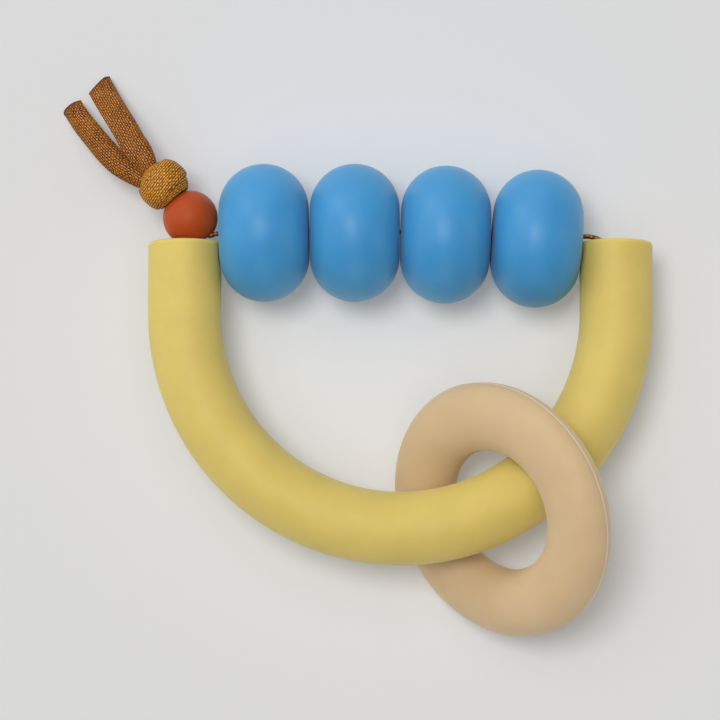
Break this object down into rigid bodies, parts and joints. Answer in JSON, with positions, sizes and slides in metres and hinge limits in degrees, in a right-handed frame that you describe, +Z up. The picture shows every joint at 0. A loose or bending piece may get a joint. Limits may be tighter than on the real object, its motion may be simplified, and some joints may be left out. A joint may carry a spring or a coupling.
{
  "type": "teething ring",
  "caption": "Baby teether: a soft U-shaped tube closed by a row of lentil beads on a ribbon tied behind a small round bead, with a loose ring hanging on the tube.",
  "frame": {"origin": "on the plane that the teether lies on, straight below the centre of the arch's half circle", "axes": "+X along the bead row, from the knotted end to the plain end; +Y from the arch towards the bead row; +Z up from the plane it lies on"},
  "size_m": [0.1331, 0.1257, 0.0428],
  "materials": {
    "yellow_silicone": "soft matte",
    "blue_silicone": "soft matte",
    "orange_silicone": "soft matte",
    "beige_silicone": "soft matte",
    "brown_ribbon": "woven satin sheen"
  },
  "bodies": {
    "arch": {"arch_tube": "yellow_silicone", "ribbon_loop": "brown_ribbon", "ribbon_knot": "brown_ribbon", "ribbon_tail_left": "brown_ribbon", "ribbon_tail_right": "brown_ribbon"},
    "bead_1": {"blue_bead_1": "blue_silicone"},
    "bead_2": {"blue_bead_2": "blue_silicone"},
    "bead_3": {"blue_bead_3": "blue_silicone"},
    "bead_4": {"blue_bead_4": "blue_silicone"},
    "stopper": {"stopper_bead": "orange_silicone"},
    "ring": {"teether_ring": "beige_silicone"}
  },
  "joints": [
    {"name": "bead_1_spin", "type": "hinge", "parent": "arch", "child": "bead_1", "pos_m": [-0.03039, 0.01782, 0.0154], "axis": [0.9998, 0.0175, 0], "continuous": true},
    {"name": "bead_2_spin", "type": "hinge", "parent": "arch", "child": "bead_2", "pos_m": [-0.01019, 0.01782, 0.0154], "axis": [1, 0, 0], "continuous": true},
    {"name": "bead_3_spin", "type": "hinge", "parent": "arch", "child": "bead_3", "pos_m": [0.01005, 0.01742, 0.0154], "axis": [0.9997, -0.0262, 0], "continuous": true},
    {"name": "bead_4_spin", "type": "hinge", "parent": "arch", "child": "bead_4", "pos_m": [0.03039, 0.01652, 0.0154], "axis": [0.9976, -0.0698, 0], "continuous": true},
    {"name": "stopper_spin", "type": "hinge", "parent": "arch", "child": "stopper", "pos_m": [-0.04684, 0.02118, 0.0154], "axis": [-0.6308, 0.776, 0], "continuous": true},
    {"name": "ring_travel", "type": "hinge", "parent": "arch", "child": "ring", "pos_m": [0, 0, 0.01699], "axis": [0, 0.1008, 0.9949], "range_deg": [-90, 40]}
  ]
}
